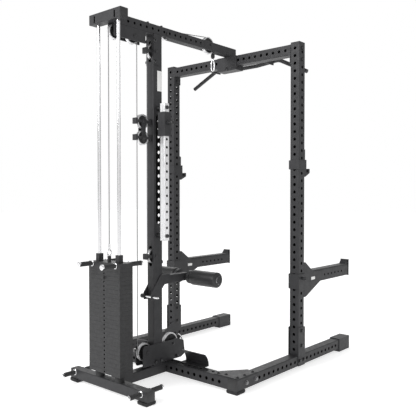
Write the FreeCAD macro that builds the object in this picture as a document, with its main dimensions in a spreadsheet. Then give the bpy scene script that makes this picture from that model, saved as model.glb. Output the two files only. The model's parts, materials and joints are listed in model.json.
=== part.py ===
# Half rack with an overhead beam, a weight-stack tower and a low row.
#
# Lengths are in millimetres. Distances along Y are first counted from the
# uprights' centre plane, positive towards the weight stack, and every finished
# piece is then moved so that the origin is under the middle of the whole.
# Z is counted from the floor, and X from the plane of symmetry.

import FreeCAD, Part
import math
import os
import re
import Sketcher

V = FreeCAD.Vector
ALONG_X = FreeCAD.Rotation(V(0, 1, 0), 90)
ALONG_Y = FreeCAD.Rotation(V(1, 0, 0), -90)
ALONG_Z = FreeCAD.Rotation()
TURNS = {"x": ALONG_X, "y": ALONG_Y, "z": ALONG_Z}

SIZES = {
    # rack
    "tube_side": 70,
    "tube_wall": 3,
    "tube_corner": 5,
    "hole_bore": 21,
    "hole_pitch": 50,
    "rack_width": 1150,
    "upright_foot": 90,
    "upright_length": 2076,
    "base_length": 1370,
    "base_front": -675,
    "foot_height": 20,
    "cross_length": 1080,
    "cross_back": 695,
    "crossmember_level": 2122,
    "flange_plate": 6,
    # overhead beam and tower
    "beam_side": 60,
    "beam_floor": 2160,
    "beam_length": 1131,
    "column_depth": 75,
    "column_front": 725,
    "tower_tube": 60,
    "tower_foot_length": 690,
    "tower_foot_front": 1096,
    "head_length": 274,
    # weight stack
    "stack_width": 280,
    "stack_depth": 98,
    "stack_front": 1073,
    "stack_floor": 118,
    "plate_pitch": 25,
    "plate_thick": 24.4,
    "plate_count": 25,
    "lifted_count": 3,
    "rod_radius": 10,
    "rod_spacing": 178,
    "rod_line": 1130,
    # cables and pulleys
    "cable_radius": 2.75,
    "pulley_width": 20,
    "axle_radius": 6,
    "rear_cable": 911,
    "column_cable": 827,
    "lat_cable": 195,
    # attachments
    "steel_plate": 5,
    "rail_side": 40,
    "rail_wall": 2.5,
    "rail_length": 851,
    "roller_radius": 50,
    "roller_length": 218,
    "roller_axle": 12,
    "bolt_radius": 8,
    "bolt_head": 13,
    "head_height": 9,
    "peg_radius": 14,
    "bar_radius": 14,
    # place of the origin along Y
    "middle": 298,
}

doc = FreeCAD.newDocument("half_rack")
sheet = doc.addObject("Spreadsheet::Sheet", "sizes")
for row, (alias, amount) in enumerate(SIZES.items(), start=1):
    sheet.set("A%d" % row, alias)
    sheet.set("B%d" % row, str(amount))
    sheet.setAlias("B%d" % row, alias)
doc.recompute()

pieces = {}


def rule(text):
    """A size written with the sheet's aliases, as an expression."""
    return re.sub(r"[a-z_]{2,}", lambda word: "sizes." + word.group(0), text)


def size(amount):
    """The number behind a size, whether it is plain or a rule."""
    if isinstance(amount, str):
        return float(sheet.evalExpression(rule(amount)))
    return float(amount)


def bind(thing, **amounts):
    """Sets properties, keeping each rule as a live expression."""
    for name, amount in amounts.items():
        if isinstance(amount, str):
            thing.setExpression(name, rule(amount))
        else:
            setattr(thing, name, amount)
    return thing


def place(thing, x, y, z, turn=ALONG_Z):
    thing.Placement = FreeCAD.Placement(V(size(x), size(y), size(z)), turn)
    return thing


def box(x, y, z, dx, dy, dz):
    """A block from its lowest corner."""
    thing = doc.addObject("Part::Box", "block")
    bind(thing, Length=dx, Width=dy, Height=dz)
    return place(thing, x, y, z)


def centred(x, y, z, dx, dy, dz):
    """A block from the middle of its underside."""
    return box(size(x) - size(dx) / 2, size(y) - size(dy) / 2, z, dx, dy, dz)


def rod(axis, x, y, z, radius, length):
    """A cylinder that starts at a point and runs along an axis."""
    thing = doc.addObject("Part::Cylinder", "round")
    bind(thing, Radius=radius, Height=length)
    return place(thing, x, y, z, TURNS[axis])


def slanted(start, end, radius):
    """A cylinder from one point to another."""
    thing = doc.addObject("Part::Cylinder", "round")
    way = end - start
    bind(thing, Radius=radius, Height=way.Length)
    thing.Placement = FreeCAD.Placement(start, FreeCAD.Rotation(V(0, 0, 1), way))
    return thing


def ring(axis, x, y, z, across, thick):
    """A torus about an axis."""
    thing = doc.addObject("Part::Torus", "ring")
    bind(thing, Radius1=across, Radius2=thick)
    return place(thing, x, y, z, TURNS[axis])


def fuse(*things):
    thing = doc.addObject("Part::MultiFuse", "joined")
    thing.Shapes = list(things)
    return thing


def group(things):
    thing = doc.addObject("Part::Compound", "set")
    thing.Links = list(things)
    return thing


def cut(base, *tools):
    thing = doc.addObject("Part::Cut", "cut")
    thing.Base = base
    thing.Tool = tools[0] if len(tools) == 1 else group(tools)
    return thing


def mirrored(source):
    thing = doc.addObject("Part::Mirroring", "mirrored")
    thing.Source = source
    thing.Normal = V(1, 0, 0)
    return thing


def pair(source):
    """A piece and its mirror image on the other side."""
    return group([source, mirrored(source)])


def keep(label, thing):
    """Names a piece that is already in its place."""
    thing.Label = label
    pieces[label] = thing


def finish(label, thing):
    """Names a finished piece, and moves it so the origin is under the middle."""
    thing.Placement.Base = thing.Placement.Base - V(0, size("middle"), 0)
    keep(label, thing)


# Bodies made from sketches


def origin_plane(body, role):
    return [part for part in body.Origin.OriginFeatures if part.Role == role][0]


def sketch_on(body, role, offset=0.0):
    sketch = body.newObject("Sketcher::SketchObject", "outline")
    sketch.AttachmentSupport = (origin_plane(body, role), [""])
    sketch.MapMode = "FlatFace"
    sketch.AttachmentOffset = FreeCAD.Placement(V(0, 0, size(offset)), ALONG_Z)
    return sketch


def rounded(points, radius):
    """A closed outline of lines whose corners are arcs of one radius."""
    corners = [V(size(u), size(v), 0) for u, v in points]
    ends = []
    arcs = []
    for index, corner in enumerate(corners):
        back = (corners[index - 1] - corner).normalize()
        ahead = (corners[(index + 1) % len(corners)] - corner).normalize()
        half = back.getAngle(ahead) / 2
        reach = radius / math.tan(half)
        middle = corner + (back + ahead).normalize() * (radius / math.sin(half) - radius)
        ends.append((corner + back * reach, corner + ahead * reach))
        arcs.append(Part.Arc(ends[-1][0], middle, ends[-1][1]))
    lines = []
    for index, (start, end) in enumerate(ends):
        lines.append(Part.LineSegment(ends[index - 1][1], start))
    return lines + arcs


def slot(u, v, width, length):
    """A slot with round ends, upright in the sketch, centred on a point."""
    radius = width / 2
    low = v - length / 2 + radius
    top = v + length / 2 - radius
    return [
        Part.LineSegment(V(u + radius, low, 0), V(u + radius, top, 0)),
        Part.Arc(V(u + radius, top, 0), V(u, top + radius, 0), V(u - radius, top, 0)),
        Part.LineSegment(V(u - radius, top, 0), V(u - radius, low, 0)),
        Part.Arc(V(u - radius, low, 0), V(u, low - radius, 0), V(u + radius, low, 0)),
    ]


def pocket(body, role, outline, depth=0, towards_normal=False):
    """Cuts an outline right through, or to one side of the middle plane."""
    sketch = sketch_on(body, role)
    sketch.addGeometry(outline, False)
    hole = body.newObject("PartDesign::Pocket", "opening")
    hole.Profile = sketch
    if depth:
        hole.Length = depth
        hole.Reversed = towards_normal
    else:
        hole.Type = "ThroughAll"
        hole.Midplane = True
    return sketch, hole


def bore_row(body, role, first, count, bore="hole_bore", depth=0, towards_normal=False):
    """A row of round holes along the tube, one pitch apart."""
    circle = Part.Circle(V(0, size(first), 0), V(0, 0, 1), size(bore) / 2)
    sketch, hole = pocket(body, role, [circle], depth, towards_normal)
    sketch.addConstraint(Sketcher.Constraint("Radius", 0, size(bore) / 2))
    sketch.renameConstraint(0, "bore_radius")
    sketch.setExpression("Constraints.bore_radius", rule("(%s) / 2" % bore))
    if count == 1:
        return
    doc.recompute()
    row_of_holes = body.newObject("PartDesign::LinearPattern", "row_of_holes")
    row_of_holes.Originals = [hole]
    row_of_holes.Direction = (sketch, ["V_Axis"])
    row_of_holes.Occurrences = count
    row_of_holes.setExpression("Length", rule("hole_pitch * %d" % (count - 1)))
    body.Tip = row_of_holes


def hollow_tube(width, depth, wall, length, corner="tube_corner"):
    """A rectangular tube that stands on its own XY plane."""
    body = doc.addObject("PartDesign::Body", "tube")
    outer = body.newObject("PartDesign::AdditiveBox", "outside")
    bind(outer, Length=width, Width=depth, Height=length)
    place(outer, -size(width) / 2, -size(depth) / 2, 0)
    doc.recompute()
    edges = outer.Shape.Edges
    upright = [abs(edge.tangentAt(edge.FirstParameter).z) > 0.9 for edge in edges]
    names = ["Edge%d" % number for number, chosen in enumerate(upright, start=1) if chosen]
    soft = body.newObject("PartDesign::Fillet", "corners")
    soft.Base = (outer, names)
    bind(soft, Radius=corner)
    inner = body.newObject("PartDesign::SubtractiveBox", "inside")
    bind(inner, Length="%s - 2 * %s" % (width, wall), Width="%s - 2 * %s" % (depth, wall))
    bind(inner, Height=length)
    place(inner, size(wall) - size(width) / 2, size(wall) - size(depth) / 2, 0)
    return body


def plate(role, outline, thick="steel_plate", offset=0.0):
    """A flat plate from an outline on one of the main planes."""
    body = doc.addObject("PartDesign::Body", "plate")
    sketch = sketch_on(body, role, offset)
    sketch.addGeometry(outline, False)
    pad = body.newObject("PartDesign::Pad", "thickness")
    pad.Profile = sketch
    bind(pad, Length=thick)
    return body


def bolt(axis, x, y, z, length, towards=1):
    """A hex bolt whose head stands on a face, with its shank going in behind it."""
    way = {"x": V(1, 0, 0), "y": V(0, 1, 0), "z": V(0, 0, 1)}[axis] * towards
    seat = V(size(x), size(y), size(z))
    turn = FreeCAD.Rotation(V(0, 0, 1), way)
    head = doc.addObject("Part::Prism", "head")
    head.Polygon = 6
    bind(head, Circumradius="bolt_head", Height="head_height")
    head.Placement = FreeCAD.Placement(seat, turn)
    shank = slanted(seat - way * length, seat, "bolt_radius")
    return fuse(head, shank)


def nut(x, y, z):
    """A hex nut on an inner face, with the shank's end coming out of it."""
    thing = doc.addObject("Part::Prism", "nut")
    thing.Polygon = 6
    bind(thing, Circumradius="bolt_head", Height="head_height")
    place(thing, x, y, z, FreeCAD.Rotation(V(0, 1, 0), -90))
    return fuse(thing, rod("x", x - 12, y, z, "bolt_radius", 20))


# Rack frame

SIDE = size("rack_width / 2")
HALF = size("tube_side / 2")
TUBE_TOP = size("foot_height + tube_side")
UPRIGHT_TOP = size("upright_foot + upright_length")
FOOT_PLATE_TOP = 276
FLANGE_HOLES = (2053, 2128)
FOOT_BOLTS = ((0, 253), (0, 153), (25, 55), (-25, 55))
BASE_BOLTS = (510, 605)

# Each pulley's axle along Y and Z, and the radius that its cable runs at
PULLEYS = {
    "stack_pulley": (1088, 2114, 42),
    "drop_pulley": (953, 2114, 42),
    "column_pulley": (783, 2053, 44),
    "beam_pulley": (679, 2181, 30),
    "lat_pulley": (250, 2198, 55),
    "upper_floating_pulley": (869, 1612, 42),
    "lower_floating_pulley": (869, 1512, 42),
    "anchor_pulley": (783, 774, 44),
    "low_rear_pulley": (859, 180, 52),
    "low_front_pulley": (632, 195, 62),
}


def make_upright():
    body = hollow_tube("tube_side", "tube_side", "tube_wall", "upright_length")
    bore_row(body, "XZ_Plane", 38, 41)
    bore_row(body, "YZ_Plane", 63, 40)
    bore_row(body, "YZ_Plane", FLANGE_HOLES[1] - size("upright_foot"), 1, "2 * bolt_radius + 1")
    return place(body, SIDE, 0, "upright_foot")


def make_base_tube():
    body = hollow_tube("tube_side", "tube_side", "tube_wall", "base_length")
    bore_row(body, "YZ_Plane", 200, 20)
    for spot in BASE_BOLTS:
        bore_row(body, "YZ_Plane", spot - size("base_front"), 1, "2 * bolt_radius + 1")
    return place(body, SIDE, "base_front", "foot_height + tube_side / 2", ALONG_Y)


def make_rear_cross_tube():
    body = hollow_tube("tube_side", "tube_side", "tube_wall", "cross_length")
    first = (size("cross_length") - 19 * size("hole_pitch")) / 2
    bore_row(body, "XZ_Plane", first, 20)
    bore_row(body, "YZ_Plane", first + size("hole_pitch / 2"), 19)
    y = "cross_back - tube_side / 2"
    return place(body, "-cross_length / 2", y, "foot_height + tube_side / 2", ALONG_X)


def make_crossmember():
    length = "cross_length - 2 * flange_plate"
    body = hollow_tube("tube_side", "tube_side", "tube_wall", length)
    bore_row(body, "XZ_Plane", size(length) / 2 - 10 * size("hole_pitch"), 21)
    tube = place(body, "flange_plate - cross_length / 2", 0, "crossmember_level", ALONG_X)
    outside = size("cross_length / 2 - flange_plate")
    flange = centred(outside + 3, 0, 2030, "flange_plate", "tube_side", 127)
    holes = [rod("x", outside - 1, 0, z, "bolt_radius + 0.5", 8) for z in FLANGE_HOLES]
    return fuse(tube, pair(cut(flange, *holes)))


def foot_plate(offset, outline):
    """A plate that ties an upright's foot to the base tube."""
    body = plate("YZ_Plane", rounded(outline, 5), "steel_plate", offset)
    for y, z in FOOT_BOLTS:
        hole = Part.Circle(V(y, z, 0), V(0, 0, 1), size("bolt_radius") + 0.5)
        pocket(body, "YZ_Plane", [hole])
    return body


def make_foot_plates():
    """Straight plates, and one inner plate with a gusset along the base tube."""
    low = size("foot_height")
    outer = SIDE + HALF
    inner = SIDE - HALF - size("steel_plate")
    straight = [(-41, low), (41, low), (41, FOOT_PLATE_TOP), (-41, FOOT_PLATE_TOP)]
    gusset = [(-41, low), (139, low), (139, 100), (41, 160), (41, FOOT_PLATE_TOP)]
    gusset += [(-41, FOOT_PLATE_TOP)]
    left = [foot_plate(-inner - size("steel_plate"), straight)]
    right = [foot_plate(inner, gusset)]
    return group([pair(foot_plate(outer, straight))] + left + right)


def make_corner_gusset():
    outline = [(SIDE + 33, 690), (430, 690), (430, 632), (538, 500), (SIDE + 33, 500)]
    body = plate("XY_Plane", rounded(outline, 6), "steel_plate", TUBE_TOP)
    return pair(body)


def make_front_foot():
    """A sleeve over the front end of a base tube, down to the floor."""
    wide = size("tube_side") + 10
    outside = centred(SIDE, -678 + 76.5, 0, wide, 153, TUBE_TOP + 5)
    reach = size("tube_side") + 0.2
    inside = centred(SIDE, -675 + 85, "foot_height - 0.1", reach, 170, reach)
    return pair(cut(outside, inside))


def make_rubber_feet():
    rack = centred(572, 659, 0, 80, 80, "foot_height")
    tower = centred(310, 1125, 0, 76, 72, "foot_height")
    return group([pair(rack), pair(tower)])


def make_end_caps():
    """Plastic caps in the open ends of the uprights and the tower's tubes."""
    upright = centred(SIDE, 0, UPRIGHT_TOP, "tube_side - 2", "tube_side - 2", 3)
    foot_end = size("tower_foot_length / 2")
    foot = box(foot_end, "tower_foot_front + 1", "foot_height + 1", 3, 58, 58)
    head_end = size("head_length / 2")
    head = box(head_end, 1102, "beam_floor + 1", 3, 58, 58)
    base = box(SIDE - 34, 695.1, 21, 68, 3, 68)
    return pair(group([upright, foot, head, base]))


def make_frame_bolts():
    outer = SIDE + HALF
    bolts = []
    for z in FLANGE_HOLES:
        bolts.append(bolt("x", outer, 0, z, 82))
    plate_face = outer + size("steel_plate")
    inside = SIDE - HALF - size("steel_plate")
    for y, z in FOOT_BOLTS:
        bolts.append(fuse(bolt("x", plate_face, y, z, 80), nut(inside, y, z)))
    for y in BASE_BOLTS:
        bolts.append(bolt("x", outer, y, "foot_height + tube_side / 2", 76))
    return pair(group(bolts))


def make_gusset_bolts():
    """Short screws that hold the corner plates down."""
    top = TUBE_TOP + size("steel_plate")
    spots = [(592, 520), (592, 600), (592, 670), (500, 660), (450, 672)]
    screws = [rod("z", x, y, top, 11, 6) for x, y in spots]
    return pair(group(screws))


# Overhead beam


def make_overhead_beam():
    body = hollow_tube("beam_side", "beam_side", "tube_wall", "beam_length")
    bore_row(body, "YZ_Plane", 384, 14, "hole_bore - 4")
    pocket(body, "XZ_Plane", slot(0, 452, 26, 478), 35, True)
    pocket(body, "XZ_Plane", slot(0, 280, 26, 130), 35, False)
    pocket(body, "XZ_Plane", slot(0, 725, 26, 110), 35, False)
    for name in ("lat_pulley", "beam_pulley"):
        y, z, radius = PULLEYS[name]
        drop = size("beam_floor + beam_side / 2") - z
        hole = Part.Circle(V(drop, y + 30, 0), V(0, 0, 1), size("axle_radius") + 0.2)
        pocket(body, "YZ_Plane", [hole])
    return place(body, 0, -30, "beam_floor + beam_side / 2", ALONG_Y)


def make_beam_saddle():
    """The clamp that ties the beam to the crossmember."""
    floor = size("crossmember_level - tube_side / 2")
    top = floor + size("tube_side")
    tray = cut(centred(0, 0, floor - 30, 176, 80, 30), centred(0, 0, floor - 25, 166, 70, 40))
    rear = box(-88, HALF, floor - 30, 176, "steel_plate", 100)
    front = box(-88, -HALF - 5, floor - 30, 176, "steel_plate", 100)
    lid = box(-30, -HALF, top, 60, 70, size("beam_floor") - top)
    return group([fuse(tray, rear, front), lid])


def make_head_cross_tube():
    body = hollow_tube("beam_side", "beam_side", "tube_wall", "head_length")
    for spot in (47, 227):
        outline = [(-17, spot - 6), (25, spot - 6), (25, spot + 6), (-17, spot + 6)]
        pocket(body, "XZ_Plane", rounded(outline, 5), 40)
    return place(body, "-head_length / 2", 1131, "beam_floor + beam_side / 2", ALONG_X)


# Tower


def make_column():
    floor = size("foot_height + tower_tube") + 6
    body = hollow_tube("beam_side", "column_depth", "tube_wall", size("beam_floor") - floor)
    bore_row(body, "XZ_Plane", 130 - floor, 41, "hole_bore", 45, True)
    bore_row(body, "XZ_Plane", 130 - floor, 1, "hole_bore", 45, False)
    levels = [PULLEYS[name][1] for name in ("anchor_pulley", "column_pulley")]
    for level in levels:
        pocket(body, "XZ_Plane", slot(0, level - floor, 26, 130), 45, False)
    pocket(body, "XZ_Plane", slot(0, 2115 - floor, 24, 70), 45, True)
    middle = -2.5
    pocket(body, "YZ_Plane", slot(middle, 1319 - floor, 40, 682))
    for level in (904, 1700):
        hole = Part.Circle(V(1.5, level - floor, 0), V(0, 0, 1), size("bolt_radius") + 0.5)
        pocket(body, "YZ_Plane", [hole])
    for level in levels:
        hole = Part.Circle(V(20.5, level - floor, 0), V(0, 0, 1), size("axle_radius") + 0.2)
        pocket(body, "YZ_Plane", [hole])
    column = place(body, 0, "column_front + column_depth / 2", floor)
    foot = box(-30, 700, floor - 6, 60, 125, 6)
    head = box(-30, 800, 2152, 60, 65, 8)
    return group([column, foot, head])


def make_tower_base():
    """The tower's T-shaped foot: a spine to the rack and a wide rear tube."""
    spine_length = size("tower_foot_front - cross_back")
    spine = hollow_tube("tower_tube", "tower_tube", "tube_wall", spine_length)
    level = "foot_height + tower_tube / 2"
    place(spine, 0, "cross_back", level, ALONG_Y)
    wide = hollow_tube("tower_tube", "tower_tube", "tube_wall", "tower_foot_length")
    place(wide, "-tower_foot_length / 2", 1126, level, ALONG_X)
    return fuse(spine, wide)


def make_pulley_side_plates():
    """The flat cheeks of the top housing and of the column's head."""
    housing = box(24, 865, 2085, 6, 245, 75)
    top_axles = [rod("x", 23, y, 2114, "axle_radius + 0.2", 8) for y in (1088, 953)]
    head = box(30, 740, 1970, "steel_plate", 60, 190)
    head_axle = rod("x", 29, 783, 2053, "axle_radius + 0.2", 8)
    cheeks = pair(group([cut(housing, *top_axles), cut(head, head_axle)]))
    guards = [cable_guard(PULLEYS[name]) for name in ("column_pulley", "anchor_pulley")]
    return group([cheeks] + guards)


def cable_guard(pulley):
    """A block on two arms that keeps the cable in a pulley behind the column."""
    y, z, radius = pulley
    arms = [box(x, 800, z - 9, 4, y + radius + 22 - 800, 18) for x in (-18, 14)]
    block = box(-18, y + radius + 5, z - 18, 36, 17, 36)
    return fuse(block, *arms)


def make_low_pulley_housing():
    """The long cheeks that carry both low pulleys beside the column."""
    outline = [(522, 110), (560, 92), (897, 92), (897, 221), (600, 221), (535, 200)]
    cheek = plate("YZ_Plane", rounded(outline, 16), "steel_plate", 30)
    for y, z in ((859, 180), (632, 195)):
        hole = Part.Circle(V(y, z, 0), V(0, 0, 1), size("axle_radius") + 0.2)
        pocket(cheek, "YZ_Plane", [hole])
    return pair(cheek)


def make_foot_rest():
    """A curved steel plate for the feet, on the rear cross tube."""
    inner = rod("x", 118, 688, 96, 88, 190)
    outer = rod("x", 118, 688, 96, 93, 190)
    window = box(118, 590, 92, 190, 60, 78)
    curve = doc.addObject("Part::MultiCommon", "curve")
    curve.Shapes = [cut(outer, inner), window]
    tab = box(118, 598, 90, 190, 60, 6)
    return pair(fuse(curve, tab))


def make_slide_rail():
    body = hollow_tube("rail_side", "rail_side", "rail_wall", "rail_length", "rail_wall")
    bore_row(body, "YZ_Plane", 29, 16, "2 * bolt_radius + 1")
    bore_row(body, "YZ_Plane", 825, 1, "2 * bolt_radius + 1")
    return place(body, -91, 764, 875)


def make_rail_mounts():
    """The rail's two stand-offs, each with its bolt."""
    mounts = []
    for level in (904, 1700):
        sleeve = rod("x", -71, 764, level, 14, 41)
        screw = rod("x", -111, 764, level, "bolt_radius", 96)
        head = rod("x", -118, 764, level, 12, 7)
        mounts.append(fuse(sleeve, screw, head))
    return group(mounts)


def make_guide_rods():
    length = size("beam_floor") - size("foot_height + tower_tube")
    spot = size("rod_spacing / 2")
    return pair(rod("z", spot, "rod_line", "foot_height + tower_tube", "rod_radius", length))


def make_stack_bumpers():
    floor = size("foot_height + tower_tube")
    spot = size("rod_spacing / 2")
    height = size("stack_floor") - floor - 0.3
    outside = rod("z", spot, "rod_line", floor, 28, height)
    return pair(cut(outside, rod("z", spot, "rod_line", floor - 1, "rod_radius + 0.1", 60)))


def band_peg(x, y, z, towards):
    """A resistance-band peg: a grip between a chrome collar and tip."""
    length = 103
    start = y if towards > 0 else y - length
    grip = rod("y", x, start, z, "peg_radius", length)
    collar_at = y if towards > 0 else y - 8
    collar = rod("y", x, collar_at, z, "peg_radius + 4", 8)
    tip_at = y + length - 12 if towards > 0 else y - length
    tip = rod("y", x, tip_at, z, "peg_radius + 2", 12)
    return fuse(grip, collar, tip)


def make_base_band_pegs():
    front = size("tower_foot_front")
    back = front + size("tower_tube")
    return pair(group([band_peg(300, front, 62, -1), band_peg(300, back, 62, 1)]))


def make_tower_bolts():
    """Bolts of the column's foot, its head plates and the beam's clamp."""
    bolts = []
    foot = size("foot_height + tower_tube") + 6
    for y in (708, 817):
        bolts.append(rod("z", -18, y, foot, 8, 7))
        bolts.append(rod("z", 18, y, foot, 8, 7))
    for side in (-1, 1):
        for z in (1990, 2120):
            start = 35 if side > 0 else -43
            bolts.append(rod("x", start, 793, z, 12, 8))
    for side in (-1, 1):
        for y in (600, 745, 790):
            start = 35 if side > 0 else -43
            bolts.append(rod("x", start, y, 112, 11, 8))
    for y in (700, 818):
        bolts.append(rod("z", 0, y, size("beam_floor + beam_side"), 10, 16))
    bolts.append(rod("y", 0, HALF + 5, 2070, 12, 8))
    return group(bolts)


# Pull-up bar


def tube_path(points, radii):
    """A wire of straight runs joined by tangent arcs."""
    edges = []
    last = points[0]
    for index, radius in enumerate(radii, start=1):
        corner = points[index]
        back = (points[index - 1] - corner).normalize()
        ahead = (points[index + 1] - corner).normalize()
        half = back.getAngle(ahead) / 2
        reach = radius / math.tan(half)
        middle = corner + (back + ahead).normalize() * (radius / math.sin(half) - radius)
        start = corner + back * reach
        end = corner + ahead * reach
        edges.append(Part.LineSegment(last, start).toShape())
        edges.append(Part.Arc(start, middle, end).toShape())
        last = end
    edges.append(Part.LineSegment(last, points[-1]).toShape())
    return Part.Wire(edges)


def sweep(wire, radius):
    """A round bar along a wire."""
    start = wire.Edges[0].valueAt(wire.Edges[0].FirstParameter)
    way = wire.Edges[0].tangentAt(wire.Edges[0].FirstParameter)
    face = Part.Wire(Part.Circle(start, way, size(radius)).toShape())
    return wire.makePipeShell([face], True, False)


def feature(shape):
    thing = doc.addObject("Part::Feature", "swept")
    thing.Shape = shape
    return thing


def make_pull_up_bar():
    y = -197
    half = [V(99, y, 2118), V(293, y, 2134), V(528, y, 2019)]
    other = [V(-point.x, point.y, point.z) for point in reversed(half)]
    points = other + half
    bar = feature(sweep(tube_path(points, [90, 250, 250, 90]), "bar_radius"))
    arms = []
    for x in (-250, 250):
        arm = box(x - 4, y + 8, 2100, 8, -y - 8 - HALF - 6, 50)
        foot = box(x - 30, -HALF - 6, 2090, 60, 6, 66)
        arms += [arm, foot]
    return fuse(bar, *arms)


# Pulleys and cables


def make_pulley(y, z, radius):
    half = size("pulley_width / 2")
    disc = rod("x", -half, y, z, radius + 3, "pulley_width")
    floor = rod("x", -3.5, y, z, radius - 2.9, 7)
    groove = cut(rod("x", -3.4, y, z, radius + 5, 6.8), floor)
    bore = rod("x", -half - 1, y, z, "axle_radius + 0.05", "pulley_width + 2")
    dish = [rod("x", -half - 1, y, z, radius * 0.72, 5), rod("x", half - 4, y, z, radius * 0.72, 5)]
    hub = rod("x", -half, y, z, 14, "pulley_width")
    body = fuse(cut(disc, *dish), hub)
    return cut(body, groove, bore)


def make_pulley_axles():
    reach = {"stack_pulley": 36, "drop_pulley": 36, "column_pulley": 42, "beam_pulley": 36}
    reach.update({"lat_pulley": 36, "anchor_pulley": 36})
    reach.update({"low_rear_pulley": 41, "low_front_pulley": 41})
    axles = []
    for name, half in reach.items():
        y, z, radius = PULLEYS[name]
        shank = rod("x", -half, y, z, "axle_radius", 2 * half)
        heads = [rod("x", x, y, z, 10, 6) for x in (-half, half - 6)]
        axles.append(fuse(shank, *heads))
    return group(axles)


def on_pulley(name, angle):
    """The point of a pulley's cable circle at an angle, from +Y towards +Z."""
    y, z, radius = PULLEYS[name]
    turn = math.radians(angle)
    return V(0, y + radius * math.cos(turn), z + radius * math.sin(turn))


def around(name, first, last):
    """An arc of cable round a pulley, between two angles."""
    points = [on_pulley(name, angle) for angle in (first, (first + last) / 2, last)]
    return Part.Arc(*points).toShape()


def shared_tangent(first, second, side):
    """The angle of the cable that runs along the same side of two pulleys."""
    first_y, first_z, first_radius = PULLEYS[first]
    second_y, second_z, second_radius = PULLEYS[second]
    between = math.hypot(second_y - first_y, second_z - first_z)
    heading = math.degrees(math.atan2(second_z - first_z, second_y - first_y))
    opening = math.degrees(math.acos((first_radius - second_radius) / between))
    return heading + side * opening


def run(start, end):
    return Part.LineSegment(start, end).toShape()


def cable(edges):
    return feature(sweep(Part.Wire(edges), "cable_radius"))


STOPPER_TOP = 2152
HOOK_TOP = 875
ROW_EXIT = 210
ROW_REST = 46


def make_lat_cable():
    """From the lat hook over the beam's pulleys, and from the stack to the block."""
    lat_off = shared_tangent("lat_pulley", "beam_pulley", 1)
    beam_off = shared_tangent("beam_pulley", "column_pulley", 1)
    front = [
        run(V(0, size("lat_cable"), STOPPER_TOP), on_pulley("lat_pulley", 180)),
        around("lat_pulley", 180, lat_off),
        run(on_pulley("lat_pulley", lat_off), on_pulley("beam_pulley", lat_off)),
        around("beam_pulley", lat_off, beam_off),
        run(on_pulley("beam_pulley", beam_off), on_pulley("column_pulley", beam_off)),
        around("column_pulley", beam_off, 0),
    ]
    rear = [
        around("stack_pulley", 0, 90),
        run(on_pulley("stack_pulley", 90), on_pulley("drop_pulley", 90)),
        around("drop_pulley", 90, 180),
    ]
    return group([cable(front), cable(rear)])


def row_start():
    """Where the row cable leaves its front pulley, and which way it goes."""
    turn = math.radians(ROW_EXIT)
    return on_pulley("low_front_pulley", ROW_EXIT), V(0, math.sin(turn), -math.cos(turn))


def make_row_cable():
    """From the row hook under both low pulleys, and from the block to its anchor."""
    under = shared_tangent("low_rear_pulley", "low_front_pulley", 1)
    start, way = row_start()
    low = [
        around("low_rear_pulley", 360, under),
        run(on_pulley("low_rear_pulley", under), on_pulley("low_front_pulley", under)),
        around("low_front_pulley", under, ROW_EXIT),
        run(start, start + way * ROW_REST),
    ]
    bottom = on_pulley("anchor_pulley", 270)
    anchored = [around("anchor_pulley", 360, 270), run(bottom, V(0, 722, bottom.z))]
    stop = rod("y", 0, 700, bottom.z, 13, 22)
    return group([cable(low), cable(anchored), stop])


def make_block_cables():
    """The cable round the floating block, and its upright runs above and below."""
    top = PULLEYS["drop_pulley"][1]
    column_top = PULLEYS["column_pulley"][1]
    upper = PULLEYS["upper_floating_pulley"][1]
    lower = PULLEYS["lower_floating_pulley"][1]
    floor = PULLEYS["low_rear_pulley"][1]
    anchor = PULLEYS["anchor_pulley"][1]
    above = [
        rod("z", 0, "rear_cable", upper, "cable_radius", top - upper),
        rod("z", 0, "column_cable", upper, "cable_radius", column_top - upper),
        cable([around("upper_floating_pulley", 180, 360)]),
    ]
    below = [
        rod("z", 0, "rear_cable", floor, "cable_radius", lower - floor),
        rod("z", 0, "column_cable", anchor, "cable_radius", lower - anchor),
        cable([around("lower_floating_pulley", 0, 180)]),
    ]
    return group(above + below)


def make_stack_cable():
    top = PULLEYS["stack_pulley"][1]
    return rod("z", 0, "rod_line", HOOK_TOP, "cable_radius", top - HOOK_TOP)


def make_floating_block():
    """Two cheeks that hold a pulley above a pulley, with a guard at each cable."""
    y, upper, radius = PULLEYS["upper_floating_pulley"]
    lower = PULLEYS["lower_floating_pulley"][1]
    parts = [pair(plate("YZ_Plane", slot(y, (upper + lower) / 2, 34, upper - lower + 34), 4, 12))]
    reach = radius + 22
    for level in (upper, lower):
        parts.append(rod("x", -22, y, level, "axle_radius", 44))
        parts += [rod("x", x, y, level, 11, 5) for x in (-21, 16)]
        parts += [box(x, y - reach, level - 8, 4, 2 * reach, 16) for x in (-16, 12)]
        for side in (y - reach, y + radius + 5):
            parts.append(box(-16, side, level - 18, 32, 17, 36))
    return fuse(*parts)


# Hooks


def carabiner(length, width, thick):
    """A closed oval link that hangs from the origin towards -Z."""
    turn = FreeCAD.Rotation(V(1, 0, 0), 90)
    oval = [edge.toShape() for edge in slot(0, -length / 2, width, length)]
    wire = Part.Wire(oval)
    wire.rotate(V(0, 0, 0), turn.Axis, 90)
    return feature(sweep(wire, thick))


def make_lat_hook():
    stopper = rod("z", 0, "lat_cable", STOPPER_TOP - 36, 14, 36)
    swivel = rod("z", 0, "lat_cable", STOPPER_TOP - 48, 8, 14)
    link = place(carabiner(78, 27, 4.5), 0, "lat_cable", STOPPER_TOP - 42)
    return fuse(stopper, swivel, link)


def make_row_hook():
    start, way = row_start()
    rest = start + way * ROW_REST
    stopper = slanted(rest, rest + way * 26, 13)
    link = carabiner(64, 27, 4.5)
    turn = FreeCAD.Rotation(V(0, 0, -1), V(0, -0.42, -0.9))
    link.Placement = FreeCAD.Placement(rest + way * 24 + V(0, -1.5, 6), turn)
    return fuse(stopper, link)


# Weight stack


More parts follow.
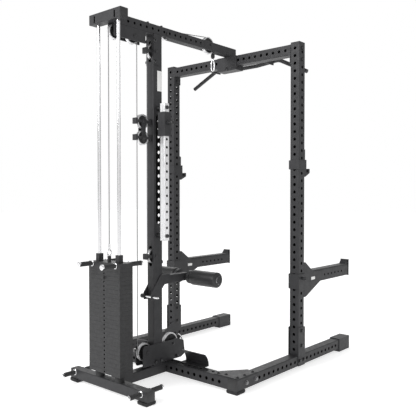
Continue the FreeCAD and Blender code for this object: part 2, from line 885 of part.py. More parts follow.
def stack_plate(number):
    """One plate, counted from the bottom."""
    floor = size("stack_floor") + number * size("plate_pitch")
    slab = box("-stack_width / 2", "stack_front", floor, "stack_width", "stack_depth", "plate_thick")
    spot = size("rod_spacing / 2")
    bores = [rod("z", x, "rod_line", floor - 1, "rod_radius + 2", 30) for x in (-spot, spot)]
    bores.append(rod("z", 0, "rod_line", floor - 1, 12.5, 30))
    middle = floor + size("plate_thick / 2")
    bores.append(rod("y", 0, "rod_line", middle, 5.6, 60))
    return cut(slab, *bores)


def lifted_level():
    """The height of the selector pin's hole."""
    number = size("plate_count - lifted_count")
    return size("stack_floor") + number * size("plate_pitch") + size("plate_thick / 2")


def make_weight_plates():
    return group([stack_plate(number) for number in range(int(size("plate_count - lifted_count")))])


def make_lifted_plates():
    first = int(size("plate_count - lifted_count"))
    return group([stack_plate(number) for number in range(first, int(size("plate_count")))])


def stack_top():
    return size("stack_floor + plate_count * plate_pitch")


def make_head_plate():
    """The stack's top plate, its rod collars and the selector's stem."""
    floor = stack_top()
    slab = box("-stack_width / 2", "stack_front", floor, "stack_width", "stack_depth", 25)
    spot = size("rod_spacing / 2")
    collars = [centred(x, "rod_line", floor + 24, 31, 31, 46) for x in (-spot, spot)]
    bores = [rod("z", x, "rod_line", floor - 1, "rod_radius + 0.4", 80) for x in (-spot, spot)]
    stem = rod("z", 0, "rod_line", 130, 11, floor + 60 - 130)
    pin_hole = rod("y", 0, size("rod_line") - 20, lifted_level(), 5.6, 40)
    return cut(fuse(slab, stem, *collars), pin_hole, *bores)


def make_stack_band_pegs():
    level = stack_top() + 13
    back = size("stack_front + stack_depth")
    return pair(group([band_peg(105, back, level, 1), band_peg(105, size("stack_front"), level, -1)]))


def make_stack_hook():
    """The shackle and swaged end that join the stem to its cable."""
    top = stack_top() + 60
    link = ring("x", 0, "rod_line", top + 20.1, 16, 4)
    swage = rod("z", 0, "rod_line", top + 38, 7, HOOK_TOP - top - 38)
    return fuse(link, swage)


def make_selector_pin():
    face = size("stack_front + stack_depth") + 0.4
    start = size("rod_line") - 11
    shank = rod("y", 0, start, lifted_level(), 5.2, face - start)
    knob = rod("y", 0, face, lifted_level(), 9, 12)
    return fuse(shank, knob)


# Attachments


def make_rail_carriage():
    floor = 1523
    body = cut(centred(-91, 764, floor, 60, 56, 148), centred(-91, 764, floor - 1, 41, 41, 150))
    level = 904 + 14 * size("hole_pitch")
    nose = rod("x", -136, 764, level, 12, 16)
    bore = rod("x", -140, 764, level, 5.4, 30)
    return cut(fuse(body, nose), bore)


def make_carriage_pin():
    level = 904 + 14 * size("hole_pitch")
    return fuse(rod("x", -150, 764, level, 5, 38), rod("x", -166, 764, level, 13, 29.5))


def collar(floor, height):
    """A steel sleeve that goes round an upright with a little play."""
    outside = centred(SIDE, 0, floor, "tube_side + 11.2", "tube_side + 11.2", height)
    return cut(outside, centred(SIDE, 0, floor - 1, "tube_side + 1.2", "tube_side + 1.2", height + 2))


def make_j_cup():
    """A sleeve with a curved shelf for the bar and an upturned lip."""
    floor = 1329
    outline = [(-37, 1280), (-60, 1280), (-117, 1308), (-117, 1336), (-103, 1336)]
    outline += [(-99, 1312), (-76, 1308), (-72, 1340), (-57, 1346), (-57, 1462), (-37, 1470)]
    shelf = plate("YZ_Plane", rounded(outline, 2), 50, SIDE - 25)
    block = centred(SIDE, -57, floor, 50, 36, 66)
    pin = rod("y", SIDE, -56, 1428, 9, 20.2)
    return fuse(collar(floor, 60), shelf, block, pin)


def make_spotter_arm():
    """A long safety arm: tube, side gussets, plastic top strip and end stop."""
    floor = 533
    tube = hollow_tube("beam_side", 80, "tube_wall", 632)
    bore_row(tube, "YZ_Plane", 103, 8, "hole_bore - 5")
    place(tube, SIDE, -672, 595, ALONG_Y)
    strip = box(SIDE - 28, -665, 635, 56, 600, 6)
    stop = box(SIDE - 33, -678, 552, 66, 6, 120)
    wedge_outline = [(-673, 640), (-673, 670), (-664, 670), (-636, 640)]
    wedge = plate("YZ_Plane", rounded(wedge_outline, 2), 50, SIDE - 25)
    outline = [(-38, 706), (-52, 706), (-152, 636), (-300, 622), (-306, 582), (-60, 472), (-38, 472)]
    side = plate("YZ_Plane", rounded(outline, 4), 4, SIDE + 30)
    other = plate("YZ_Plane", rounded(outline, 4), 4, SIDE - 34)
    back = box(SIDE - 34, -40.6, 472, 68, "steel_plate", 234)
    pin = rod("x", SIDE + 40, 0, 603, 9, 34)
    return fuse(tube, strip, stop, wedge, side, other, back, collar(floor, 100), pin)


def make_roller_frame():
    """The thigh rollers' cheeks, arm and axle."""
    outline = [(828, 500), (828, 545), (745, 652), (664, 652), (650, 592), (712, 588), (792, 500)]
    cheek = plate("YZ_Plane", rounded(outline, 10), "steel_plate", 31)
    hole = Part.Circle(V(815, 520, 0), V(0, 0, 1), 7.2)
    pocket(cheek, "YZ_Plane", [hole])
    bridge = box(-31, 690, 595, 62, 25, 50)
    shell = cut(centred(0, 595, 590, 50, 210, 50), centred(0, 595, 593, 44, 220, 44))
    axle = rod("x", -298, 483, 613, "roller_axle", 596)
    boss = rod("x", -46, 483, 613, 26, 92)
    caps = [rod("x", x, 483, 613, 44, 24) for x in (-70, 46)]
    caps += [rod("x", x, 483, 613, 24, 7) for x in (-299, 292)]
    return fuse(pair(cheek), bridge, shell, axle, boss, *caps)


def make_foam_roller():
    spot = 72
    outside = rod("x", spot, 483, 613, "roller_radius", "roller_length")
    return cut(outside, rod("x", spot - 1, 483, 613, "roller_axle + 0.4", 260))


def make_roller_pin():
    shank = rod("x", -80, 815, 520, 7, 140)
    knob = rod("x", 42, 815, 520, 14, 26)
    tip = rod("x", -86, 815, 520, 6, 6)
    return fuse(shank, knob, tip)


def left_and_right(name, right):
    """A pair of pieces that stay separate, the left one mirroring the right."""
    finish("right_" + name, right)
    keep("left_" + name, mirrored(right))


def build():
    left_and_right("upright", make_upright())
    left_and_right("base_tube", make_base_tube())
    finish("rear_cross_tube", make_rear_cross_tube())
    finish("top_crossmember", make_crossmember())
    finish("joint_plates", group([make_foot_plates(), make_corner_gusset()]))
    finish("front_feet", make_front_foot())
    finish("rubber_feet", make_rubber_feet())
    finish("end_caps", make_end_caps())
    finish("frame_bolts", group([make_frame_bolts(), make_gusset_bolts()]))
    finish("overhead_beam", make_overhead_beam())
    finish("beam_saddle", make_beam_saddle())
    finish("head_cross_tube", make_head_cross_tube())
    finish("column", make_column())
    finish("tower_base", make_tower_base())
    finish("pulley_side_plates", make_pulley_side_plates())
    finish("low_pulley_housing", make_low_pulley_housing())
    finish("foot_rests", make_foot_rest())
    finish("slide_rail", make_slide_rail())
    finish("rail_mounts", make_rail_mounts())
    finish("guide_rods", make_guide_rods())
    finish("stack_bumpers", make_stack_bumpers())
    finish("base_band_pegs", make_base_band_pegs())
    finish("tower_bolts", make_tower_bolts())
    finish("pull_up_bar", make_pull_up_bar())
    finish("pulley_axles", make_pulley_axles())
    finish("weight_plates", make_weight_plates())
    finish("lat_cable", make_lat_cable())
    finish("row_cable", make_row_cable())
    finish("block_cables", make_block_cables())
    finish("stack_cable", make_stack_cable())
    finish("floating_block", make_floating_block())
    for name, (y, z, radius) in PULLEYS.items():
        finish(name, make_pulley(y, z, radius))
    finish("lat_hook", make_lat_hook())
    finish("row_hook", make_row_hook())
    finish("lifted_plates", make_lifted_plates())
    finish("head_plate", make_head_plate())
    finish("stack_band_pegs", make_stack_band_pegs())
    finish("stack_hook", make_stack_hook())
    finish("selector_pin", make_selector_pin())
    finish("rail_carriage", make_rail_carriage())
    finish("carriage_pin", make_carriage_pin())
    left_and_right("j_cup", make_j_cup())
    left_and_right("spotter_arm", make_spotter_arm())
    finish("roller_frame", make_roller_frame())
    left_and_right("foam_roller", make_foam_roller())
    finish("roller_pin", make_roller_pin())


def check():
    """Stops before anything is written if an object or a shape has failed."""
    for thing in doc.Objects:
        if "Invalid" in thing.State or "Error" in thing.State:
            raise RuntimeError("%s failed: %s" % (thing.Name, thing.State))
    for label, thing in pieces.items():
        if thing.Shape.isNull() or not thing.Shape.isValid():
            raise RuntimeError("%s has no valid shape" % label)


def write():
    os.makedirs("parts", exist_ok=True)
    for label, thing in pieces.items():
        thing.Shape.exportStep("parts/%s.step" % label)


build()
doc.recompute()
check()
write()
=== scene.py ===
import json
import math

import bmesh
import bpy
from mathutils import Matrix, Vector

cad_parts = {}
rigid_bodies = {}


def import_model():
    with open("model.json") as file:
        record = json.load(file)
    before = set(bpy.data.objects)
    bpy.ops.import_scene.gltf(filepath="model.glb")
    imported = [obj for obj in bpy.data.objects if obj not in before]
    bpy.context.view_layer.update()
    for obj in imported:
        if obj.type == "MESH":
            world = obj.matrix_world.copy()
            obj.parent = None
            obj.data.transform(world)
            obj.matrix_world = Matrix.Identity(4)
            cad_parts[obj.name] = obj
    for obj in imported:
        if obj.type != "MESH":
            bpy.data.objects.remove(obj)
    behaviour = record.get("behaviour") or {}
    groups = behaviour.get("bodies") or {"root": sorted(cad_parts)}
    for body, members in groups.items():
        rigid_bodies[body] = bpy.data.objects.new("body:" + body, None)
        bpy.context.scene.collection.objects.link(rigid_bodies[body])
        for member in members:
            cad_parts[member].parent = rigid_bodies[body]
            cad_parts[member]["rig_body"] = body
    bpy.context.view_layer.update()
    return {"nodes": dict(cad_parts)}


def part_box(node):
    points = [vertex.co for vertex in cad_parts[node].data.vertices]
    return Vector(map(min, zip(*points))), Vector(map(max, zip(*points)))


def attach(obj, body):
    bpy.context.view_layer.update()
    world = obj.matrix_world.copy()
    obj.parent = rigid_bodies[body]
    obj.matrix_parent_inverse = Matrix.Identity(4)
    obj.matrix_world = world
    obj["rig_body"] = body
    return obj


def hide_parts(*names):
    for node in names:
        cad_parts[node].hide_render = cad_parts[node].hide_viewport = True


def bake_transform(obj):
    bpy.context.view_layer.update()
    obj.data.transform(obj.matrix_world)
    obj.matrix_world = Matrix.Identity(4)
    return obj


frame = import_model()
nodes = frame["nodes"]

X_AXIS = Vector((1, 0, 0))
Y_AXIS = Vector((0, 1, 0))
Z_AXIS = Vector((0, 0, 1))
MM = 0.001
PULLEYS = [name for name in nodes if name.endswith("_pulley")]
PLAIN_TUBES = (
    ("left_upright", 2),
    ("right_upright", 2),
    ("left_base_tube", 1),
    ("right_base_tube", 1),
    ("overhead_beam", 1),
    ("rear_cross_tube", 0),
    ("slide_rail", 2),
)


# Camera, floor and light


def make_camera():
    """A view from behind and to one side, at about chest height."""
    lens = bpy.data.cameras.new("camera")
    lens.lens = 49.23
    lens.sensor_width = 36
    camera = bpy.data.objects.new("camera", lens)
    bpy.context.scene.collection.objects.link(camera)
    yaw, pitch = 0.7132, -0.0246
    look = Vector((math.sin(yaw) * math.cos(pitch), -math.cos(yaw) * math.cos(pitch), math.sin(pitch)))
    camera.location = (-2.612, 2.968, 1.165)
    camera.rotation_euler = look.to_track_quat("-Z", "Y").to_euler()
    bpy.context.scene.camera = camera


def area_light(name, place, aim, size, power):
    light = bpy.data.lights.new(name, "AREA")
    light.shape = "DISK"
    light.size = size
    light.energy = power
    lamp = bpy.data.objects.new(name, light)
    lamp.location = place
    lamp.rotation_euler = (Vector(aim) - Vector(place)).to_track_quat("-Z", "Y").to_euler()
    bpy.context.scene.collection.objects.link(lamp)


def make_studio():
    """A pale floor under a pale sky, greyer to the sides and overhead, with soft lights."""
    world = bpy.data.worlds.new("studio")
    world.use_nodes = True
    tree = world.node_tree
    place = tree.nodes.new("ShaderNodeTexCoord")
    sideways = tree.nodes.new("ShaderNodeVectorMath")
    sideways.operation = "DOT_PRODUCT"
    sideways.inputs[1].default_value = (0.756, 0.654, 0)
    shade = tree.nodes.new("ShaderNodeValToRGB")
    stops = ((0.0, 0.6), (0.16, 0.64), (0.33, 1.0), (0.67, 1.0), (0.84, 0.62), (1.0, 0.56))
    while len(shade.color_ramp.elements) < len(stops):
        shade.color_ramp.elements.new(0.5)
    for element, (position, grey) in zip(shade.color_ramp.elements, stops):
        element.position = position
        element.color = (grey, grey, grey, 1)
    spread = tree.nodes.new("ShaderNodeMapRange")
    spread.inputs["From Min"].default_value = -1
    tree.links.new(place.outputs["Generated"], sideways.inputs[0])
    tree.links.new(sideways.outputs["Value"], spread.inputs["Value"])
    tree.links.new(spread.outputs["Result"], shade.inputs["Fac"])
    tree.links.new(shade.outputs["Color"], tree.nodes["Background"].inputs["Color"])
    height = tree.nodes.new("ShaderNodeSeparateXYZ")
    overhead = tree.nodes.new("ShaderNodeMapRange")
    overhead.inputs["From Min"].default_value = 0.42
    overhead.inputs["From Max"].default_value = 0.75
    overhead.inputs["To Min"].default_value = 1.0
    overhead.inputs["To Max"].default_value = 0.4
    tree.links.new(place.outputs["Generated"], height.inputs[0])
    tree.links.new(height.outputs["Z"], overhead.inputs["Value"])
    tree.links.new(overhead.outputs["Result"], tree.nodes["Background"].inputs["Strength"])
    bpy.context.scene.world = world
    bpy.context.scene.view_settings.view_transform = "Standard"
    bpy.ops.mesh.primitive_plane_add(size=60)
    floor = bpy.context.object
    floor.name = "floor"
    paint = Finish("floor_paint", (0.8, 0.8, 0.8), 0.9)
    paint.mottle(0.6, 0.02)
    paint.set("Emission Color", (1, 1, 1, 1))
    paint.set("Emission Strength", 0.63)
    floor.data.materials.append(paint.material)
    area_light("key", (1.2, 5.0, 3.6), (0, 0, 1.0), 3.0, 190)
    area_light("fill", (-4.5, 0.5, 3.0), (0, 0, 1.2), 3.0, 18)
    area_light("rim", (3.5, -3.5, 4.0), (0, 0, 1.2), 3.0, 60)


# Materials


class Finish:
    """A procedural material built up in layers on one shader."""

    def __init__(self, name, colour, rough, metal=0.0):
        self.material = bpy.data.materials.new(name)
        self.material.use_nodes = True
        self.tree = self.material.node_tree
        self.shader = self.tree.nodes["Principled BSDF"]
        self.colour = colour
        self.rough = rough
        self.set("Base Color", (*colour, 1))
        self.set("Roughness", rough)
        self.set("Metallic", metal)
        self.where = self.node("ShaderNodeTexCoord").outputs["Object"]
        self.height = None

    def node(self, kind, **values):
        made = self.tree.nodes.new(kind)
        for key, value in values.items():
            setattr(made, key, value)
        return made

    def set(self, socket, value):
        self.shader.inputs[socket].default_value = value

    def link(self, start, end):
        self.tree.links.new(start, end)

    def noise(self, size, detail=4.0, squeeze=(1, 1, 1)):
        """Noise whose features are about one size across, in metres."""
        stretch = self.node("ShaderNodeMapping")
        stretch.inputs["Scale"].default_value = squeeze
        self.link(self.where, stretch.inputs["Vector"])
        cloud = self.node("ShaderNodeTexNoise")
        cloud.inputs["Scale"].default_value = 1 / size
        cloud.inputs["Detail"].default_value = detail
        self.link(stretch.outputs["Vector"], cloud.inputs["Vector"])
        return cloud.outputs["Fac"]

    def ranged(self, source, low, high, start=0.3, end=0.7):
        """A source between 0 and 1, spread over a range of values."""
        spread = self.node("ShaderNodeMapRange")
        spread.inputs["From Min"].default_value = start
        spread.inputs["From Max"].default_value = end
        spread.inputs["To Min"].default_value = low
        spread.inputs["To Max"].default_value = high
        self.link(source, spread.inputs["Value"])
        return spread.outputs["Result"]

    def mottle(self, size, amount):
        """Slight patches of lighter and darker colour."""
        mix = self.node("ShaderNodeMix", data_type="RGBA")
        mix.inputs["A"].default_value = (*[c * (1 - amount) for c in self.colour], 1)
        mix.inputs["B"].default_value = (*[c * (1 + amount) for c in self.colour], 1)
        self.link(self.ranged(self.noise(size), 0, 1), mix.inputs["Factor"])
        self.link(mix.outputs["Result"], self.shader.inputs["Base Color"])
        return mix

    def uneven(self, size, amount, squeeze=(1, 1, 1)):
        """Roughness that wanders about its value."""
        source = self.noise(size, 3.0, squeeze)
        spread = self.ranged(source, self.rough * (1 - amount), self.rough * (1 + amount))
        self.link(spread, self.shader.inputs["Roughness"])

    def bump(self, source, depth):
        """Adds a layer of relief, its depth in metres."""
        relief = self.node("ShaderNodeBump")
        relief.inputs["Distance"].default_value = depth
        relief.inputs["Strength"].default_value = 1.0
        self.link(source, relief.inputs["Height"])
        if self.height is not None:
            self.link(self.height, relief.inputs["Normal"])
        self.height = relief.outputs["Normal"]
        self.link(self.height, self.shader.inputs["Normal"])

    def grain(self, size, depth, squeeze=(1, 1, 1)):
        self.bump(self.noise(size, 2.0, squeeze), depth)

    def cells(self, size, depth):
        """A pebbled relief, like moulded leather grain."""
        pebbles = self.node("ShaderNodeTexVoronoi", feature="F1")
        pebbles.inputs["Scale"].default_value = 1 / size
        self.link(self.where, pebbles.inputs["Vector"])
        self.bump(pebbles.outputs["Distance"], depth)


def powder_coat():
    paint = Finish("powder_coat", (0.032, 0.032, 0.034), 0.46)
    paint.mottle(0.05, 0.12)
    paint.uneven(0.02, 0.18)
    paint.grain(0.0012, 0.00006)
    paint.set("Specular IOR Level", 0.28)
    return paint.material


def stack_coat():
    paint = Finish("stack_coat", (0.022, 0.022, 0.023), 0.5)
    paint.mottle(0.03, 0.15)
    paint.uneven(0.012, 0.2)
    paint.grain(0.002, 0.00012)
    paint.set("Specular IOR Level", 0.38)
    return paint.material


def chrome():
    metal = Finish("chrome", (0.8, 0.8, 0.81), 0.16, 1.0)
    metal.mottle(0.04, 0.03)
    metal.uneven(0.01, 0.3)
    return metal.material


def turned_alloy():
    metal = Finish("turned_alloy", (0.78, 0.78, 0.79), 0.34, 0.9)
    metal.mottle(0.02, 0.04)
    metal.uneven(0.006, 0.25)
    metal.grain(0.0012, 0.00002)
    return metal.material


def brushed():
    metal = Finish("brushed_rail", (0.86, 0.86, 0.87), 0.34, 0.9)
    metal.mottle(0.06, 0.03)
    metal.uneven(0.004, 0.3, (1, 1, 0.05))
    metal.grain(0.0015, 0.00002, (1, 1, 0.03))
    return metal.material


def black_zinc():
    metal = Finish("black_zinc", (0.05, 0.05, 0.052), 0.34, 0.7)
    metal.mottle(0.006, 0.2)
    metal.uneven(0.004, 0.25)
    return metal.material


def grey_zinc():
    metal = Finish("grey_zinc", (0.2, 0.2, 0.205), 0.4, 0.7)
    metal.mottle(0.006, 0.15)
    metal.uneven(0.004, 0.25)
    return metal.material


def rubber():
    stuff = Finish("rubber", (0.02, 0.02, 0.021), 0.8)
    stuff.mottle(0.02, 0.2)
    stuff.grain(0.0015, 0.0001)
    return stuff.material


def moulded():
    stuff = Finish("moulded_plastic", (0.02, 0.02, 0.021), 0.48)
    stuff.mottle(0.03, 0.1)
    stuff.uneven(0.01, 0.15)
    stuff.cells(0.0012, 0.00005)
    return stuff.material


def foam_skin():
    stuff = Finish("foam_skin", (0.012, 0.012, 0.013), 0.44)
    stuff.mottle(0.02, 0.25)
    stuff.uneven(0.01, 0.2)
    stuff.grain(0.012, 0.0004)
    stuff.cells(0.0022, 0.00025)
    stuff.set("Sheen Weight", 0.05)
    return stuff.material


def cable_skin():
    stuff = Finish("cable_skin", (0.16, 0.16, 0.165), 0.35)
    strands = stuff.node("ShaderNodeTexWave", bands_direction="DIAGONAL")
    strands.inputs["Scale"].default_value = 320
    stuff.link(stuff.where, strands.inputs["Vector"])
    stuff.bump(strands.outputs["Fac"], 0.0002)
    stuff.mottle(0.01, 0.1)
    stuff.set("Coat Weight", 0.5)
    return stuff.material


def knurled():
    stuff = Finish("knurled_grip", (0.022, 0.022, 0.023), 0.6)
    stuff.mottle(0.01, 0.15)
    stuff.cells(0.0016, 0.0003)
    return stuff.material


def badge_white():
    paint = Finish("badge_white", (0.75, 0.75, 0.74), 0.4)
    paint.mottle(0.01, 0.03)
    paint.grain(0.001, 0.00003)
    return paint.material


def painted_tube_shade():
    """Painted shade: the unlit inside of a tube, as seen through its holes, painted near black."""
    paint = Finish("tube_inside_painted_shade", (0.006, 0.006, 0.006), 0.9)
    paint.mottle(0.03, 0.2)
    paint.set("Specular IOR Level", 0.1)
    return paint.material


# Mesh building


class Shape:
    """A mesh gathered from turned, bent and boxed parts, each with its own material."""

    def __init__(self):
        self.mesh = bmesh.new()
        self.materials = []

    def index(self, material):
        if material not in self.materials:
            self.materials.append(material)
        return self.materials.index(material)

    def lathe(self, profile, centre, axis, material, segments=48):
        """Turns (along, radius) points about an axis through a centre."""
        turn = Z_AXIS.rotation_difference(axis).to_matrix()
        slot = self.index(material)
        rings = []
        for along, radius in profile:
            row = []
            for step in range(segments):
                angle = 2 * math.pi * step / segments
                spot = Vector((radius * math.cos(angle), radius * math.sin(angle), along))
                row.append(self.mesh.verts.new(Vector(centre) + turn @ spot))
            rings.append(row)
        for low, high in zip(rings, rings[1:]):
            for step in range(segments):
                after = (step + 1) % segments
                face = self.mesh.faces.new((low[step], low[after], high[after], high[step]))
                face.material_index = slot
        for row, flip in ((rings[0], True), (rings[-1], False)):
            face = self.mesh.faces.new(reversed(row) if flip else row)
            face.material_index = slot

    def tube(self, path, radius, material, segments=16, closed=False):
        """A round bar along points, with flat ends unless it is closed."""
        slot = self.index(material)
        count = len(path)
        rings = []
        side = None
        for number, point in enumerate(path):
            before = path[number - 1] if number or closed else point
            after = path[(number + 1) % count] if number < count - 1 or closed else point
            way = (Vector(after) - Vector(before)).normalized()
            if side is None:
                side = way.orthogonal().normalized()
            side = (side - way * side.dot(way)).normalized()
            other = way.cross(side)
            row = []
            for step in range(segments):
                angle = 2 * math.pi * step / segments
                offset = side * math.cos(angle) + other * math.sin(angle)
                row.append(self.mesh.verts.new(Vector(point) + offset * radius))
            rings.append(row)
        pairs = list(zip(rings, rings[1:]))
        if closed:
            pairs.append((rings[-1], rings[0]))
        for low, high in pairs:
            for step in range(segments):
                after = (step + 1) % segments
                face = self.mesh.faces.new((low[step], low[after], high[after], high[step]))
                face.material_index = slot
        if not closed:
            for row, flip in ((rings[0], True), (rings[-1], False)):
                face = self.mesh.faces.new(reversed(row) if flip else row)
                face.material_index = slot

    def block(self, low, high, material, bevel=0.0008, turn=None, about=None):
        """A box with softened edges."""
        slot = self.index(material)
        low, high = Vector(low), Vector(high)
        centre = (low + high) / 2
        made = bmesh.ops.create_cube(self.mesh, size=1)["verts"]
        scale = Matrix.Diagonal((*(high - low), 1))
        bmesh.ops.transform(self.mesh, matrix=Matrix.Translation(centre) @ scale, verts=made)
        edges = list({edge for vert in made for edge in vert.link_edges})
        done = bmesh.ops.bevel(self.mesh, geom=edges, offset=bevel, segments=2, affect="EDGES", profile=0.6)
        verts = {vert for face in done["faces"] for vert in face.verts}
        for face in {face for vert in verts for face in vert.link_faces}:
            face.material_index = slot
        if turn is not None:
            spot = Matrix.Translation(about)
            bmesh.ops.transform(self.mesh, matrix=spot @ turn.to_4x4() @ spot.inverted(), verts=list(verts))

    def piece(self, name, body, slot, *replaced):
        """Makes the object, rides it on a body and lets it stand for CAD nodes."""
        bmesh.ops.recalc_face_normals(self.mesh, faces=self.mesh.faces)
        data = bpy.data.meshes.new(name)
        self.mesh.to_mesh(data)
        self.mesh.free()
        for material in self.materials:
            data.materials.append(material)
        data.polygons.foreach_set("use_smooth", [True] * len(data.polygons))
        data.set_sharp_from_angle(angle=math.radians(32))
        thing = bpy.data.objects.new(name, data)
        bpy.context.scene.collection.objects.link(thing)
        if replaced:
            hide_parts(*replaced)
        if body:
            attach(thing, body)
        return thing


def middle(node):
    low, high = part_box(node)
    return (low + high) / 2


def islands(node):
    """The lowest and highest corner of each separate solid in a CAD node."""
    data = nodes[node].data
    keys = [tuple(round(c, 5) for c in vert.co) for vert in data.vertices]
    parent = {key: key for key in keys}

    def root(key):
        while parent[key] != key:
            parent[key] = parent[parent[key]]
            key = parent[key]
        return key

    for edge in data.edges:
        parent[root(keys[edge.vertices[0]])] = root(keys[edge.vertices[1]])
    found = {}
    for key in keys:
        found.setdefault(root(key), []).append(key)
    boxes = []
    for points in found.values():
        low = Vector([min(point[axis] for point in points) for axis in range(3)])
        high = Vector([max(point[axis] for point in points) for axis in range(3)])
        boxes.append((low, high))
    return sorted(boxes, key=lambda box: tuple(box[0]))


def body_of(node):
    return nodes[node]["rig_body"]


def pulley_facts(node):
    """A pulley's centre and the radius that its cable runs at."""
    low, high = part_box(node)
    return (low + high) / 2, (high.z - low.z) / 2 - 3 * MM, (high.x - low.x) / 2


# Turned and bolted parts


def ring_profile(shape, points, centre, axis, material, segments=64):
    """Turns a closed outline of (along, radius) points, as for a rim or a bush."""
    turn = Z_AXIS.rotation_difference(axis).to_matrix()
    slot = shape.index(material)
    rings = []
    for along, radius in points:
        row = []
        for step in range(segments):
            angle = 2 * math.pi * step / segments
            spot = Vector((radius * math.cos(angle), radius * math.sin(angle), along))
            row.append(shape.mesh.verts.new(Vector(centre) + turn @ spot))
        rings.append(row)
    for low, high in zip(rings, rings[1:] + rings[:1]):
        for step in range(segments):
            after = (step + 1) % segments
            face = shape.mesh.faces.new((low[step], low[after], high[after], high[step]))
            face.material_index = slot


def hex_head(shape, seat, way, across, height, material):
    """A washer and a chamfered hex head that stand on a face."""
    seat = Vector(seat)
    thick = 0.18 * height
    rim = [(0, across * 1.02), (0, across * 1.12), (thick * 0.6, across * 1.12), (thick, across * 1.06)]
    ring_profile(shape, rim + [(thick, across * 0.5), (0, across * 0.5)], seat, way, material, 32)
    body = [(thick, across * 0.94), (height * 0.88, across * 0.94), (height, across * 0.8)]
    shape.lathe(body, seat, way, material, 6)
    shape.lathe([(height, across * 0.62), (height + 0.4 * MM, across * 0.55)], seat, way, material, 24)


def button_head(shape, seat, way, across, height, material):
    """A low domed head with a socket in its middle."""
    dome = [(0, across), (height * 0.25, across), (height * 0.6, across * 0.86)]
    dome += [(height * 0.9, across * 0.58), (height, across * 0.42)]
    dome += [(height * 0.98, across * 0.38), (height * 0.45, across * 0.36)]
    shape.lathe(dome, seat, way, material, 32)


FOOT_PLATE_FACE = 535 * MM
FLANGE_FACE = 534 * MM
FOOT_BOLT_LENGTH = 95 * MM


def through_bolt(shape, low, high, steel, bright):
    """A long bolt across a tube: a hex head outside and, but for the base's, a nut inside."""
    centre = (low + high) / 2
    right = centre.x > 0
    way = X_AXIS if right else -X_AXIS
    outer, inner = (high.x, low.x) if right else (low.x, high.x)
    seat = Vector((outer, centre.y, centre.z)) - way * 9 * MM
    joins_base = centre.z < 70 * MM and centre.y > 0.1
    metal = bright if joins_base else steel
    shape.lathe([(-40 * MM, 8 * MM), (0, 8 * MM)], seat, way, steel, 24)
    hex_head(shape, seat, way, 13 * MM, 9 * MM, metal)
    if not joins_base:
        end = Vector((inner, centre.y, centre.z))
        shape.lathe([(0, 6.6 * MM), (1.4 * MM, 7.9 * MM), (16 * MM, 7.9 * MM)], end, way, steel, 24)
        face = FOOT_PLATE_FACE if high.x - low.x > FOOT_BOLT_LENGTH else FLANGE_FACE
        seat = Vector((face * (1 if right else -1), centre.y, centre.z))
        hex_head(shape, seat, -way, 12.6 * MM, 8 * MM, steel)


def make_fasteners(steel, bright):
    """Every bolt head on the rack and the tower, in place of the plain ones."""
    for node, name in (("frame_bolts", "rack_bolt_heads"), ("tower_bolts", "tower_bolt_heads")):
        shape = Shape()
        for low, high in islands(node):
            size = high - low
            centre = (low + high) / 2
            axis = min(range(3), key=lambda number: size[number])
            if size.z > 15 * MM and size.x < 22 * MM and size.y < 22 * MM:
                hex_head(shape, (centre.x, centre.y, low.z), Z_AXIS, 8.8 * MM, 15 * MM, steel)
                continue
            if size.x > 50 * MM:
                through_bolt(shape, low, high, steel, bright)
                continue
            way = (X_AXIS, Y_AXIS, Z_AXIS)[axis].copy()
            if axis == 0 and centre.x < 0:
                way.negate()
            across = max(size) / 2
            seat = centre - way * size[axis] / 2
            button_head(shape, seat, way, across, size[axis], steel)
        shape.piece(name, "frame", "black_steel", node)


def make_axle_bolts(steel):
    """The pulleys' axles, with a washer and a nut at each end."""
    shape = Shape()
    for low, high in islands("pulley_axles"):
        centre = (low + high) / 2
        half = (high.x - low.x) / 2
        shape.lathe([(-half + 1 * MM, 6 * MM), (half - 1 * MM, 6 * MM)], centre, X_AXIS, steel, 24)
        for way in (X_AXIS, -X_AXIS):
            hex_head(shape, centre + way * (half - 6 * MM), way, 10 * MM, 5.8 * MM, steel)
    shape.piece("axle_bolts", "frame", "black_steel", "pulley_axles")
    shape = Shape()
    for node in ("upper_floating_pulley", "lower_floating_pulley"):
        centre = middle(node)
        for way in (X_AXIS, -X_AXIS):
            hex_head(shape, centre + way * 16 * MM, way, 11.2 * MM, 6 * MM, steel)
    shape.piece("block_nuts", "block", "black_steel")


